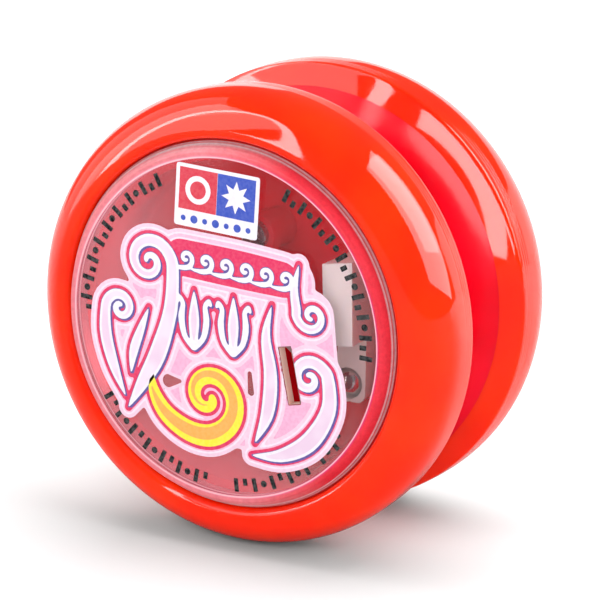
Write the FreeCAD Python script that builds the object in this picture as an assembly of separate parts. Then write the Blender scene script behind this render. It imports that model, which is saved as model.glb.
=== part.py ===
"""Auto-return yo-yo: two shelled halves on one axle, with a centrifugal clutch in one of them.

Frame, in millimetres: the origin is on the axle, in the middle of the string gap.
+Y runs along the axle from the clutch side to the plain side, and +Z is up.
Depth means the distance from the middle of the gap along the axle, on either side.
"""
import FreeCAD, Part
import math
import os

Vector = FreeCAD.Vector
CENTRE = Vector(0, 0, 0)
AXLE_LINE = Vector(0, 1, 0)
UPRIGHT = Vector(0, 0, 1)

# Rim: the glossy outer ring of each half
RIM_RADIUS = 28.5
RIM_WIDEST_DEPTH = 10.3
RIM_CREST_RADIUS = 23.7
RIM_CREST_DEPTH = 16.6
RIM_BORE = 22.9
RIM_LIP_DEPTH = 15.45
RIM_EDGE_RADIUS = 28.43
RIM_EDGE_DEPTH = 7.7
RIM_EDGE_ROUND = (28.24, 7.14)
RIM_GAP_FACE_RADIUS = 27.82
RIM_GAP_FACE_DEPTH = 6.84

# Shell: the cup behind the rim, whose outside is one wall of the string gap
WALL_OUTER_RADIUS = 25.66
WALL_OUTER_DEPTH = 5.65
HUB_FACE_RADIUS = 6.5
HUB_FACE_DEPTH = 1.25
FLANGE_DEPTH = 7.6
CHAMBER_RADIUS = 20.2
CHAMBER_FLOOR = 6.4
CHAMBER_TOP = 14.0
CHAMBER_CORNER = 0.9

# Cap: the clear cover of each half, with a shallow recess for its labels
CAP_FACE_DEPTH = 17.5
CAP_FACE_RADIUS = 21.5
CAP_EDGE_ROUND = 0.35
CAP_THICKNESS = 1.4
CAP_SKIRT_BORE = 21.4
LABEL_RECESS_RADIUS = 20.9
LABEL_RECESS_DEPTH = 0.12
LABEL_THICKNESS = 0.1
SLOT_CENTRE = (9.3, -4.4)
SLOT_LENGTH = 7.0
SLOT_WIDTH = 1.6
SLOT_LEAN = 12.0

# Axle and what turns on it
AXLE_RADIUS = 2.0
AXLE_CLUTCH_END = 14.9
AXLE_PLAIN_END = 12.0
NUT_FLATS = 7.0
NUT_HEIGHT = 3.2
THIN_NUT_HEIGHT = 2.2
NUT_CLEARANCE = 0.03
SPOOL_BORE = 2.06
STRING_SEAT_RADIUS = 4.0
STRING_SEAT_DEPTH = 1.3
DRUM_RADIUS = 5.0
DRUM_DEPTH = 10.0
DRUM_CLEARANCE = 0.25
SPOOL_PLAIN_END = 1.9
HUB_POCKET_DEPTH = 2.5
WASHER_THICKNESS = 0.5
WASHER_RADIUS = 4.5
WASHER_GAP = 0.04
BOSS_RADIUS = 6.2

# Bridge: the bar over the drum that carries the clutch end of the axle
BRIDGE_SCREW_REACH = 11.3
BRIDGE_LEAN = 10.0
BRIDGE_WIDTH = 5.0
BRIDGE_UNDERSIDE = 10.4
BRIDGE_TOP = 12.4
DRUM_WASHER_THICKNESS = 0.3
SCREW_RADIUS = 0.9
SCREW_HEAD_RADIUS = 1.8
SCREW_HEAD_HEIGHT = 1.1
SCREW_FOOT = 4.2
SCREW_SLOT_WIDTH = 0.5

# Clutch arm a; arm b is the same piece half a turn round the axle
PIVOT = (14.0, 7.0)
PIVOT_PIN_RADIUS = 0.8
PIVOT_CLEARANCE = 0.06
PIVOT_PIN_FOOT = 4.4
PIVOT_PIN_TOP = 13.0
PIVOT_END_GAP = 0.1
ARM_FOOT = 7.0
ARM_BLOCK_TOP = 15.0
ARM_BLOCK = [(12.5, 9.4), (16.5, 10.1), (16.7, -0.1), (12.9, -0.6)]
ARM_LOBE_TOP = 11.0
ARM_LOBE_FOOT = [(11.8, -8.4), (16.55, -8.4)]
ARM_LOBE_CORNER = 1.1
ARM_LEVER = [(12.9, 5.2), (12.9, -1.0), (6.8, -1.0), (6.6, 1.3)]
JAW_TOP = 9.8
JAW_GAP = 0.12
JAW_OUTER_RADIUS = 7.0
JAW_ANGLES = (-38.0, 12.0)
BALL_CENTRE = (14.2, -6.1)
BALL_RADIUS = 1.9
BALL_CLEARANCE = 0.05
BALL_POCKET_FLOOR = 7.6

# Clutch springs, each standing upright between a post on the shell and an arm
SPRING_X = 9.0
SPRING_DEPTH = 8.5
SPRING_LOW = -5.0
SPRING_HIGH = -1.0
SPRING_RADIUS = 0.95
SPRING_WIRE_RADIUS = 0.18
SPRING_TURNS = 5
SPRING_ARCS_PER_TURN = 6
POST_WIDTH = 2.4
POST_LENGTH = 2.2
POST_TOP = 10.2

# Labels on the clear caps
BADGE_CENTRE = (-0.9, 15.7)
BADGE_WIDTH = 11.7
BADGE_HEIGHT = 7.9
BADGE_CORNER = 0.4
BADGE_LEAN = -3.0
EMBLEM_OUTLINE = [
    (-12.5, 11.8), (-9.0, 11.2), (2.0, 10.6), (10.5, 9.0), (15.0, 4.5), (14.6, -0.5),
    (16.4, -8.0), (14.0, -13.0), (5.5, -13.6), (-3.0, -16.2), (-11.0, -12.8), (-14.5, -7.2),
    (-17.6, -2.5), (-17.4, 4.0), (-15.0, 8.6),
]


def segment(start, end):
    """A straight edge between two (radius, depth) points."""
    return Part.LineSegment(Vector(*start, 0), Vector(*end, 0)).toShape()


def arc(start, middle, end):
    """A round edge through three (radius, depth) points."""
    return Part.Arc(Vector(*start, 0), Vector(*middle, 0), Vector(*end, 0)).toShape()


def path(points):
    """Straight edges through a list of points."""
    return [segment(a, b) for a, b in zip(points, points[1:])]


def turned(edges):
    """A solid of revolution about the axle, from the closed outline of its section."""
    wire = Part.Wire(Part.sortEdges(edges)[0])
    return Part.Face(wire).revolve(CENTRE, AXLE_LINE, 360)


def turned_polygon(points):
    """A solid of revolution whose section has straight sides."""
    return turned(path(points + points[:1]))


def on_clutch_side(shape):
    """The mirror image of a plain-side shape, on the other side of the string gap."""
    return shape.mirror(CENTRE, AXLE_LINE)


def half_turn(shape):
    """The same shape half a turn round the axle."""
    return shape.rotated(CENTRE, AXLE_LINE, 180)


def facing_back(shape):
    """A clutch-side shape turned about the upright axis to face out of the plain side."""
    return shape.rotated(CENTRE, UPRIGHT, 180)


def rod(place, radius, low, high):
    """A clutch-side cylinder along the axle's direction, between two depths."""
    return Part.makeCylinder(radius, high - low, Vector(place[0], -high, place[1]), AXLE_LINE)


def slab(face, low, high):
    """A clutch-side plate between two depths, from a face drawn in the X-Z plane."""
    plate = face.extrude(Vector(0, low - high, 0))
    plate.translate(Vector(0, -low, 0))
    return plate


def polygon_face(points):
    """A flat face in the X-Z plane."""
    corners = [Vector(x, 0, z) for x, z in points + points[:1]]
    return Part.Face(Part.makePolygon(corners))


def hex_prism(low, high):
    """A hexagon nut blank centred on the axle, on the plain side."""
    reach = NUT_FLATS / math.sqrt(3)
    turns = [math.radians(60 * i) for i in range(6)]
    corners = [(reach * math.cos(a), reach * math.sin(a)) for a in turns]
    return on_clutch_side(slab(polygon_face(corners), low, high))


def is_upright(edge):
    """True for a straight edge of a plate that runs along the axle's direction."""
    ends = [vertex.Point for vertex in edge.Vertexes]
    return abs(abs(ends[0].y - ends[-1].y) - edge.Length) < 0.001


def leaning(shape, place, angle):
    """A shape turned clockwise, as seen from the clutch side, about a place on it."""
    return shape.rotated(Vector(place[0], 0, place[1]), AXLE_LINE, angle)


def rim_blank():
    """The rim's section: an elliptical shoulder, a nearly straight edge and a sloping gap face."""
    crest = Vector(RIM_CREST_RADIUS, RIM_CREST_DEPTH, 0)
    widest = Vector(RIM_RADIUS, RIM_WIDEST_DEPTH, 0)
    middle = Vector(RIM_CREST_RADIUS, RIM_WIDEST_DEPTH, 0)
    shoulder = Part.Ellipse(crest, widest, middle).toShape(-math.pi / 2, 0)
    ends = [v.Point for v in shoulder.Vertexes]
    if max(p.x for p in ends) < RIM_RADIUS - 0.01:
        shoulder = Part.Ellipse(crest, widest, middle).toShape(0, math.pi / 2)
    lip = (RIM_BORE, RIM_LIP_DEPTH)
    lip_middle = (RIM_BORE + 0.12, RIM_LIP_DEPTH + 0.72)
    side_middle_depth = (RIM_WIDEST_DEPTH + RIM_EDGE_DEPTH) / 2
    edges = [
        arc(lip, lip_middle, (RIM_CREST_RADIUS, RIM_CREST_DEPTH)),
        shoulder,
        arc(
            (RIM_RADIUS, RIM_WIDEST_DEPTH),
            (RIM_RADIUS - 0.02, side_middle_depth),
            (RIM_EDGE_RADIUS, RIM_EDGE_DEPTH),
        ),
        arc(
            (RIM_EDGE_RADIUS, RIM_EDGE_DEPTH),
            RIM_EDGE_ROUND,
            (RIM_GAP_FACE_RADIUS, RIM_GAP_FACE_DEPTH),
        ),
    ]
    back = [
        (RIM_GAP_FACE_RADIUS, RIM_GAP_FACE_DEPTH),
        (WALL_OUTER_RADIUS, WALL_OUTER_DEPTH),
        (WALL_OUTER_RADIUS, FLANGE_DEPTH),
        (RIM_BORE, FLANGE_DEPTH),
        lip,
    ]
    return turned(edges + path(back))


def gap_wall():
    """The bulging wall of the string gap, level at the hub face and steeper further out."""
    run = WALL_OUTER_RADIUS - HUB_FACE_RADIUS
    rise = WALL_OUTER_DEPTH - HUB_FACE_DEPTH
    bend = (run**2 + rise**2) / (2 * rise)
    half_way = run / 2
    sag = bend - math.sqrt(bend**2 - half_way**2)
    return arc(
        (HUB_FACE_RADIUS, HUB_FACE_DEPTH),
        (HUB_FACE_RADIUS + half_way, HUB_FACE_DEPTH + sag),
        (WALL_OUTER_RADIUS, WALL_OUTER_DEPTH),
    )


def shell_blank(bore):
    """A cup with a flange under the rim, a chamber inside and a round hole at its hub."""
    corner = CHAMBER_CORNER
    bend = corner * (1 - math.sqrt(0.5))
    inside = [
        (WALL_OUTER_RADIUS, WALL_OUTER_DEPTH),
        (WALL_OUTER_RADIUS, FLANGE_DEPTH),
        (RIM_BORE, FLANGE_DEPTH),
        (RIM_BORE, CHAMBER_TOP),
        (CHAMBER_RADIUS, CHAMBER_TOP),
        (CHAMBER_RADIUS, CHAMBER_FLOOR + corner),
    ]
    round_corner = arc(
        (CHAMBER_RADIUS, CHAMBER_FLOOR + corner),
        (CHAMBER_RADIUS - bend, CHAMBER_FLOOR + bend),
        (CHAMBER_RADIUS - corner, CHAMBER_FLOOR),
    )
    floor = [
        (CHAMBER_RADIUS - corner, CHAMBER_FLOOR),
        (bore, CHAMBER_FLOOR),
        (bore, HUB_FACE_DEPTH),
        (HUB_FACE_RADIUS, HUB_FACE_DEPTH),
    ]
    return turned([gap_wall(), round_corner] + path(inside) + path(floor))


def cap_blank():
    """A clear cover: a flat disc with a bevelled edge, a skirt and a shallow label recess."""
    recess = CAP_FACE_DEPTH - LABEL_RECESS_DEPTH
    underside = CAP_FACE_DEPTH - CAP_THICKNESS
    edge = CAP_EDGE_ROUND
    return turned_polygon([
        (0, recess),
        (LABEL_RECESS_RADIUS, recess),
        (LABEL_RECESS_RADIUS, CAP_FACE_DEPTH),
        (CAP_FACE_RADIUS, CAP_FACE_DEPTH),
        (CAP_FACE_RADIUS + edge, CAP_FACE_DEPTH - edge / 2),
        (RIM_BORE, RIM_LIP_DEPTH),
        (RIM_BORE, CHAMBER_TOP),
        (CAP_SKIRT_BORE, CHAMBER_TOP),
        (CAP_SKIRT_BORE, underside - edge),
        (CAP_SKIRT_BORE - edge, underside),
        (0, underside),
    ])


def cap_slot():
    """The narrow slot through the clutch-side cap, leaning to the left at its top."""
    x, z = SLOT_CENTRE
    side = SLOT_WIDTH / 2
    end = SLOT_LENGTH / 2
    corners = [(x - side, z - end), (x + side, z - end), (x + side, z + end), (x - side, z + end)]
    slot = slab(polygon_face(corners), CHAMBER_TOP, CAP_FACE_DEPTH + 1)
    return leaning(slot, SLOT_CENTRE, -SLOT_LEAN)


def bridge_screw_place():
    """Where the upper bridge screw stands."""
    lean = math.radians(BRIDGE_LEAN)
    return BRIDGE_SCREW_REACH * math.sin(lean), BRIDGE_SCREW_REACH * math.cos(lean)


def spring_post():
    """The moulded post on the shell's floor that spring a stands on."""
    side = POST_WIDTH / 2
    low = SPRING_LOW - POST_LENGTH
    corners = [
        (SPRING_X - side, low),
        (SPRING_X + side, low),
        (SPRING_X + side, SPRING_LOW),
        (SPRING_X - side, SPRING_LOW),
    ]
    return slab(polygon_face(corners), CHAMBER_FLOOR, POST_TOP)


def clutch_side_shell():
    shell = on_clutch_side(shell_blank(DRUM_RADIUS + DRUM_CLEARANCE))
    shell = shell.fuse([spring_post(), half_turn(spring_post())])
    pin_hole = rod(PIVOT, PIVOT_PIN_RADIUS, PIVOT_PIN_FOOT, CHAMBER_FLOOR + 1)
    screw_hole = rod(bridge_screw_place(), SCREW_RADIUS, SCREW_FOOT, CHAMBER_FLOOR + 1)
    holes = [pin_hole, half_turn(pin_hole), screw_hole, half_turn(screw_hole)]
    return shell.cut(holes)


def plain_side_shell():
    """The cup of the plain half, with a washer pocket at its hub and a nut boss inside."""
    shell = shell_blank(AXLE_RADIUS + 0.1)
    pocket_radius = DRUM_RADIUS + DRUM_CLEARANCE
    pocket = Part.makeCylinder(pocket_radius, HUB_POCKET_DEPTH, CENTRE, AXLE_LINE)
    boss_foot = Vector(0, CHAMBER_FLOOR, 0)
    boss = Part.makeCylinder(BOSS_RADIUS, NUT_HEIGHT, boss_foot, AXLE_LINE)
    nut_pocket = hex_prism(CHAMBER_FLOOR, CHAMBER_FLOOR + NUT_HEIGHT)
    return shell.cut(pocket).fuse(boss.cut(nut_pocket)).removeSplitter()


def nut(foot, height, bore):
    """A hexagon nut on the plain side, standing at a depth."""
    blank = hex_prism(foot, foot + height)
    hole = Part.makeCylinder(bore, height + 2, Vector(0, foot - 1, 0), AXLE_LINE)
    rounding = turned_polygon([
        (0, foot),
        (NUT_FLATS / 2, foot),
        (NUT_FLATS / 2 + 0.5, foot + 0.3),
        (NUT_FLATS / 2 + 0.5, foot + height - 0.3),
        (NUT_FLATS / 2, foot + height),
        (0, foot + height),
    ])
    return blank.common(rounding).cut(hole)


def clutch_bridge():
    """A bar over the drum, standing on two feet, with the axle through its middle."""
    half_width = BRIDGE_WIDTH / 2
    top = (0, BRIDGE_SCREW_REACH)
    bottom = (0, -BRIDGE_SCREW_REACH)
    corners = [
        (-half_width, -BRIDGE_SCREW_REACH),
        (half_width, -BRIDGE_SCREW_REACH),
        (half_width, BRIDGE_SCREW_REACH),
        (-half_width, BRIDGE_SCREW_REACH),
    ]
    bar = slab(polygon_face(corners), BRIDGE_UNDERSIDE, BRIDGE_TOP)
    feet = [rod(place, half_width, CHAMBER_FLOOR, BRIDGE_TOP) for place in (top, bottom)]
    holes = [rod(place, SCREW_RADIUS, 0, CAP_FACE_DEPTH) for place in (top, bottom)]
    holes.append(rod((0, 0), AXLE_RADIUS, 0, CAP_FACE_DEPTH))
    bridge = bar.fuse(feet).cut(holes).removeSplitter()
    return leaning(bridge, (0, 0), BRIDGE_LEAN)


def bridge_screw():
    """A slotted screw through one foot of the bridge."""
    place = bridge_screw_place()
    head_top = BRIDGE_TOP + SCREW_HEAD_HEIGHT
    shank = rod(place, SCREW_RADIUS, SCREW_FOOT, BRIDGE_TOP)
    head = rod(place, SCREW_HEAD_RADIUS, BRIDGE_TOP, head_top)
    rim = [edge for edge in head.Edges if abs(edge.CenterOfMass.y + head_top) < 0.01]
    head = head.makeFillet(SCREW_HEAD_HEIGHT / 2, rim)
    x, z = place
    side = SCREW_SLOT_WIDTH / 2
    reach = SCREW_HEAD_RADIUS + 1
    corners = [(x - reach, z - side), (x + reach, z - side), (x + reach, z + side), (x - reach, z + side)]
    slot = slab(polygon_face(corners), head_top - SCREW_SLOT_WIDTH, head_top + 1)
    return shank.fuse(head).cut(leaning(slot, place, 30)).removeSplitter()


def pair(shape):
    """Two of a piece, half a turn apart, as separate solids of one node."""
    return Part.makeCompound([shape, half_turn(shape)])


def axle():
    """A plain rod with chamfered ends."""
    low = -AXLE_CLUTCH_END
    chamfer = 0.4
    return turned_polygon([
        (0, low),
        (AXLE_RADIUS - chamfer, low),
        (AXLE_RADIUS, low + chamfer),
        (AXLE_RADIUS, AXLE_PLAIN_END - chamfer),
        (AXLE_RADIUS - chamfer, AXLE_PLAIN_END),
        (0, AXLE_PLAIN_END),
    ])


def string_spool():
    """The sleeve that the string is looped on, with the clutch drum at one end."""
    return turned_polygon([
        (SPOOL_BORE, -DRUM_DEPTH),
        (DRUM_RADIUS, -DRUM_DEPTH),
        (DRUM_RADIUS, -STRING_SEAT_DEPTH),
        (STRING_SEAT_RADIUS, -STRING_SEAT_DEPTH),
        (STRING_SEAT_RADIUS, STRING_SEAT_DEPTH),
        (DRUM_RADIUS, STRING_SEAT_DEPTH),
        (DRUM_RADIUS, SPOOL_PLAIN_END),
        (SPOOL_BORE, SPOOL_PLAIN_END),
    ])


def washer(low, thickness, outer, inner):
    """A flat ring on the axle, from a place along +Y."""
    return turned_polygon([
        (inner, low),
        (outer, low),
        (outer, low + thickness),
        (inner, low + thickness),
    ])


def jaw_face():
    """The pad of an arm: a ring sector that lies just clear of the drum."""
    inner = DRUM_RADIUS + JAW_GAP
    first, last = [math.radians(a) for a in JAW_ANGLES]
    middle = (first + last) / 2

    def at(radius, angle):
        return Vector(radius * math.cos(angle), 0, radius * math.sin(angle))

    edges = [
        Part.Arc(at(inner, first), at(inner, middle), at(inner, last)).toShape(),
        Part.LineSegment(at(inner, last), at(JAW_OUTER_RADIUS, last)).toShape(),
        Part.Arc(
            at(JAW_OUTER_RADIUS, last), at(JAW_OUTER_RADIUS, middle), at(JAW_OUTER_RADIUS, first)
        ).toShape(),
        Part.LineSegment(at(JAW_OUTER_RADIUS, first), at(inner, first)).toShape(),
    ]
    return Part.Face(Part.Wire(edges))


def clutch_arm():
    """Arm a: a tall block on the pivot pin, a lobe for the ball and a lever with a jaw."""
    block = slab(polygon_face(ARM_BLOCK), ARM_FOOT, ARM_BLOCK_TOP)
    lobe = slab(polygon_face(ARM_BLOCK[-1:] + ARM_LOBE_FOOT + ARM_BLOCK[-2:-1]), ARM_FOOT, ARM_LOBE_TOP)
    foot_z = ARM_LOBE_FOOT[0][1]
    corners = [edge for edge in lobe.Edges if is_upright(edge) and abs(edge.CenterOfMass.z - foot_z) < 0.01]
    lobe = lobe.makeFillet(ARM_LOBE_CORNER, corners)
    lever = slab(polygon_face(ARM_LEVER), ARM_FOOT, JAW_TOP)
    jaw = slab(jaw_face(), ARM_FOOT, JAW_TOP)
    arm = block.fuse([lobe, lever, jaw]).removeSplitter()
    bore = rod(PIVOT, PIVOT_PIN_RADIUS + PIVOT_CLEARANCE, 0, PIVOT_PIN_TOP + PIVOT_END_GAP)
    pocket = rod(BALL_CENTRE, BALL_RADIUS + BALL_CLEARANCE, BALL_POCKET_FLOOR, ARM_LOBE_TOP + 1)
    return arm.cut([bore, pocket])


def weight_ball():
    """The steel ball that stands in arm a's pocket."""
    x, z = BALL_CENTRE
    return Part.makeSphere(BALL_RADIUS, Vector(x, -(BALL_POCKET_FLOOR + BALL_RADIUS), z))


def clutch_spring():
    """Spring a: an open coil between the shell's post and the arm's lever, in short round arcs."""
    height = SPRING_HIGH - SPRING_LOW - 2 * SPRING_WIRE_RADIUS
    steps = SPRING_TURNS * SPRING_ARCS_PER_TURN

    def at(step):
        angle = 2 * math.pi * step / SPRING_ARCS_PER_TURN
        x = SPRING_X + SPRING_RADIUS * math.cos(angle)
        y = -SPRING_DEPTH + SPRING_RADIUS * math.sin(angle)
        return Vector(x, y, SPRING_LOW + SPRING_WIRE_RADIUS + height * step / steps)

    line = Part.Wire([Part.Arc(at(i), at(i + 0.5), at(i + 1)).toShape() for i in range(steps)])
    start = line.Edges[0]
    ring = Part.Wire(Part.makeCircle(SPRING_WIRE_RADIUS, at(0), start.tangentAt(start.FirstParameter)))
    return line.makePipeShell([ring], True, False)


def emblem():
    """The large die-cut label, lying in the recess of the clutch-side cap."""
    curve = Part.BSplineCurve()
    curve.interpolate([Vector(x, 0, z) for x, z in EMBLEM_OUTLINE], PeriodicFlag=True)
    recess = CAP_FACE_DEPTH - LABEL_RECESS_DEPTH
    return slab(Part.Face(Part.Wire(curve.toShape())), recess, recess + LABEL_THICKNESS)


def badge():
    """The small upright label above the emblem."""
    x, z = BADGE_CENTRE
    side = BADGE_WIDTH / 2
    end = BADGE_HEIGHT / 2
    corners = [(x - side, z - end), (x + side, z - end), (x + side, z + end), (x - side, z + end)]
    recess = CAP_FACE_DEPTH - LABEL_RECESS_DEPTH
    plate = slab(polygon_face(corners), recess, recess + LABEL_THICKNESS)
    uprights = [edge for edge in plate.Edges if is_upright(edge)]
    return leaning(plate.makeFillet(BADGE_CORNER, uprights), BADGE_CENTRE, -BADGE_LEAN)


def nodes():
    """Every piece by its name."""
    arm = clutch_arm()
    ball = weight_ball()
    spring = clutch_spring()
    label = emblem()
    small_label = badge().cut(label)
    hub_washer_low = SPOOL_PLAIN_END + WASHER_GAP
    drum_washer_low = -(DRUM_DEPTH + WASHER_GAP + DRUM_WASHER_THICKNESS)
    thread_bore = AXLE_RADIUS + NUT_CLEARANCE
    return {
        "clutch_side_shell": clutch_side_shell(),
        "clutch_side_rim": on_clutch_side(rim_blank()),
        "clutch_side_cap": on_clutch_side(cap_blank()).cut(cap_slot()),
        "clutch_side_emblem": label.cut(cap_slot()),
        "clutch_side_badge": small_label,
        "clutch_bridge": clutch_bridge(),
        "bridge_screws": pair(bridge_screw()),
        "arm_pivot_pins": pair(rod(PIVOT, PIVOT_PIN_RADIUS, PIVOT_PIN_FOOT, PIVOT_PIN_TOP)),
        "clutch_spring_a": spring,
        "clutch_spring_b": half_turn(spring),
        "clutch_arm_a": arm,
        "clutch_arm_b": half_turn(arm),
        "weight_ball_a": ball,
        "weight_ball_b": half_turn(ball),
        "axle": axle(),
        "axle_lock_nut": on_clutch_side(nut(BRIDGE_TOP, THIN_NUT_HEIGHT, AXLE_RADIUS)),
        "drum_washer": washer(drum_washer_low, DRUM_WASHER_THICKNESS, WASHER_RADIUS, SPOOL_BORE),
        "string_spool": string_spool(),
        "hub_washer": washer(hub_washer_low, WASHER_THICKNESS, WASHER_RADIUS, SPOOL_BORE),
        "plain_side_shell": plain_side_shell(),
        "plain_side_rim": rim_blank(),
        "plain_side_cap": cap_blank(),
        "plain_side_emblem": facing_back(label),
        "plain_side_badge": facing_back(small_label),
        "captive_nut": nut(CHAMBER_FLOOR, NUT_HEIGHT, thread_bore),
    }


def main():
    os.makedirs("parts", exist_ok=True)
    for name, shape in nodes().items():
        shape.exportStep(f"parts/{name}.step")


main()
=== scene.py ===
"""The looks of an auto-return yo-yo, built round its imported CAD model.

Everything is in the CAD model's frame: the axle lies along Y, the clutch side faces -Y and +Z is up.
Sections and drawings are in millimetres and become metres when a mesh is made. Depth is the distance
from the middle of the string gap along the axle, on either side.
"""
import math

import bmesh
import bpy
import numpy as np
from mathutils import Matrix, Vector
from mathutils.geometry import delaunay_2d_cdt


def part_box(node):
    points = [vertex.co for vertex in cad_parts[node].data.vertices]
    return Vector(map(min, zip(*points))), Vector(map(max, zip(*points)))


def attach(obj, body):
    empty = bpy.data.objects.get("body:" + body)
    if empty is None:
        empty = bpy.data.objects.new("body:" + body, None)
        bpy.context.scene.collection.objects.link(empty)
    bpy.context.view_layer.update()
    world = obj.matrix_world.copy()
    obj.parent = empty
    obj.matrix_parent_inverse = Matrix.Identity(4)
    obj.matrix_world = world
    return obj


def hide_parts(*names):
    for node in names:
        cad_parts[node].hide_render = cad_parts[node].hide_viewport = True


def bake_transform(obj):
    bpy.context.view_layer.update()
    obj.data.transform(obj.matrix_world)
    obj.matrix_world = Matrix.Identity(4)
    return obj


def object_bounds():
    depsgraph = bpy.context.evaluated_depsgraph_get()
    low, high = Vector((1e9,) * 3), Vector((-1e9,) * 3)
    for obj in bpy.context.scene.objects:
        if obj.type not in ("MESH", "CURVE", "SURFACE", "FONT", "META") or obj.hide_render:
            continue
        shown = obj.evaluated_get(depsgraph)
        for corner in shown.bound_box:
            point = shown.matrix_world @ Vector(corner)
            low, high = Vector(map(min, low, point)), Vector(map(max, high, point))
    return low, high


MM = 0.001
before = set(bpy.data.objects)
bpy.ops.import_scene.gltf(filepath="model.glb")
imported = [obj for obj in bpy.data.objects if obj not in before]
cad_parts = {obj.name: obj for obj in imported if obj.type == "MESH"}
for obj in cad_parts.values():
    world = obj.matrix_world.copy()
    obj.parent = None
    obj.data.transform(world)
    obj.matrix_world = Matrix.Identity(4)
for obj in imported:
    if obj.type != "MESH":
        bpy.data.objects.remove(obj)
cad_low, cad_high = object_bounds()

CLUTCH_SIDE = -1
PLAIN_SIDE = 1
SIDES = {
    "clutch_side": (CLUTCH_SIDE, "clutch_half"),
    "plain_side": (PLAIN_SIDE, "plain_half"),
}


def top_of(node):
    """A CAD node's largest radius across the axle and its two depths, in millimetres."""
    low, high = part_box(node)
    return high.x / MM, low.y / MM, high.y / MM


RIM_RADIUS, GAP_EDGE_DEPTH, RIM_CREST_DEPTH = top_of("plain_side_rim")
SHELL_RADIUS = top_of("plain_side_shell")[0]
CAP_RADIUS, CAP_FOOT, CAP_FACE = top_of("plain_side_cap")

# Rim section
RIM_WIDEST_DEPTH = 10.3
RIM_CREST_RADIUS = 23.7
RIM_LIP_DEPTH = 15.45
RIM_EDGE_RADIUS = 28.43
RIM_EDGE_DEPTH = 7.7
RIM_GAP_FACE = (27.82, 6.84)
FLANGE_DEPTH = 7.6
BEADS_FROM_DEPTH = 9.2
BEAD_PITCH = 0.5
BEAD_HEIGHT = 0.02

# Cap section
CAP_FACE_RADIUS = 21.5
CAP_THICKNESS = 1.4
CAP_SKIRT_BORE = 21.4
CAP_EDGE_ROUND = 0.35
CAP_FILLET = 0.5
LABEL_RECESS_RADIUS = 20.9
LABEL_RECESS_DEPTH = 0.12
SLOT_CENTRE = (9.3, -4.4)
SLOT_SIZE = (1.6, 7.0)
SLOT_LEAN = 12.0
SLOT_CUTTER_DEPTH = 6.0

# Labels: films lie a hair above the recess, and each layer of ink a step above the one below
FILM_FLOOR = CAP_FACE - LABEL_RECESS_DEPTH + 0.01
EMBLEM_FILM_THICKNESS = 0.035
EMBLEM_INK_STEP = 0.009
EMBLEM_INK_THICKNESS = 0.006
BADGE_FILM_THICKNESS = 0.055
BADGE_INK_STEP = 0.012
BADGE_INK_THICKNESS = 0.009
INK_LIFT = 0.002
SCALE_FLOOR = CAP_FACE - LABEL_RECESS_DEPTH + 0.006
SCALE_THICKNESS = 0.02

# Clutch springs
SPRING_WIRE_RADIUS = 0.18
SPRING_TURNS = 5
SPRING_STEPS = 28
WIRE_SIDES = 10

SMOOTH_SEGMENTS = 224


# ---------------------------------------------------------------- materials


def material(name, **sockets):
    """A new material with one Principled shader, whose constant sockets are set directly."""
    made = bpy.data.materials.new(name)
    made.use_nodes = True
    shader = made.node_tree.nodes["Principled BSDF"]
    for socket, value in sockets.items():
        shader.inputs[socket.replace("_", " ")].default_value = value
    return made, made.node_tree, shader


def noise(tree, scale, detail=3.0, roughness=0.5):
    """A noise pattern in the object's own coordinates, with this many features per metre."""
    place = tree.nodes.new("ShaderNodeTexCoord")
    pattern = tree.nodes.new("ShaderNodeTexNoise")
    pattern.inputs["Scale"].default_value = scale
    pattern.inputs["Detail"].default_value = detail
    pattern.inputs["Roughness"].default_value = roughness
    tree.links.new(place.outputs["Object"], pattern.inputs["Vector"])
    return pattern.outputs["Fac"]


def ramp(tree, factor, low, high, first, last):
    """A colour ramp from first to last as the factor goes from low to high."""
    node = tree.nodes.new("ShaderNodeValToRGB")
    node.color_ramp.elements[0].position = low
    node.color_ramp.elements[1].position = high
    node.color_ramp.elements[0].color = (*first, 1)
    node.color_ramp.elements[1].color = (*last, 1)
    tree.links.new(factor, node.inputs["Fac"])
    return node.outputs["Color"]


def spread(tree, factor, first, last):
    """The factor, from 0.3 to 0.7, mapped to a range of numbers."""
    node = tree.nodes.new("ShaderNodeMapRange")
    node.inputs["From Min"].default_value = 0.3
    node.inputs["From Max"].default_value = 0.7
    node.inputs["To Min"].default_value = first
    node.inputs["To Max"].default_value = last
    tree.links.new(factor, node.inputs["Value"])
    return node.outputs["Result"]


def bump(tree, shader, height, strength, distance):
    """Surface relief from a height pattern."""
    node = tree.nodes.new("ShaderNodeBump")
    node.inputs["Strength"].default_value = strength
    node.inputs["Distance"].default_value = distance
    tree.links.new(height, node.inputs["Height"])
    tree.links.new(node.outputs["Normal"], shader.inputs["Normal"])


def muted(tree, colour, kept):
    """A colour that gives its neighbours only this part of its light, so that it tints them less."""
    path = tree.nodes.new("ShaderNodeLightPath")
    node = tree.nodes.new("ShaderNodeMix")
    node.data_type = "RGBA"
    node.blend_type = "MULTIPLY"
    node.inputs["B"].default_value = (*kept, 1)
    tree.links.new(path.outputs["Is Diffuse Ray"], node.inputs["Factor"])
    tree.links.new(colour, node.inputs["A"])
    return node.outputs["Result"]


def moulded_plastic(name, dark, light, roughness, bounce=(1, 1, 1), **sockets):
    """Glossy moulded plastic: a slightly cloudy colour and a faint moulding wave."""
    made, tree, shader = material(name, **sockets)
    cloudy = ramp(tree, noise(tree, 90, 2), 0.35, 0.65, dark, light)
    tree.links.new(muted(tree, cloudy, bounce), shader.inputs["Base Color"])
    grain = noise(tree, 900, 3)
    tree.links.new(spread(tree, grain, *roughness), shader.inputs["Roughness"])
    bump(tree, shader, noise(tree, 160, 2), 0.02, 0.0004)
    return made


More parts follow.
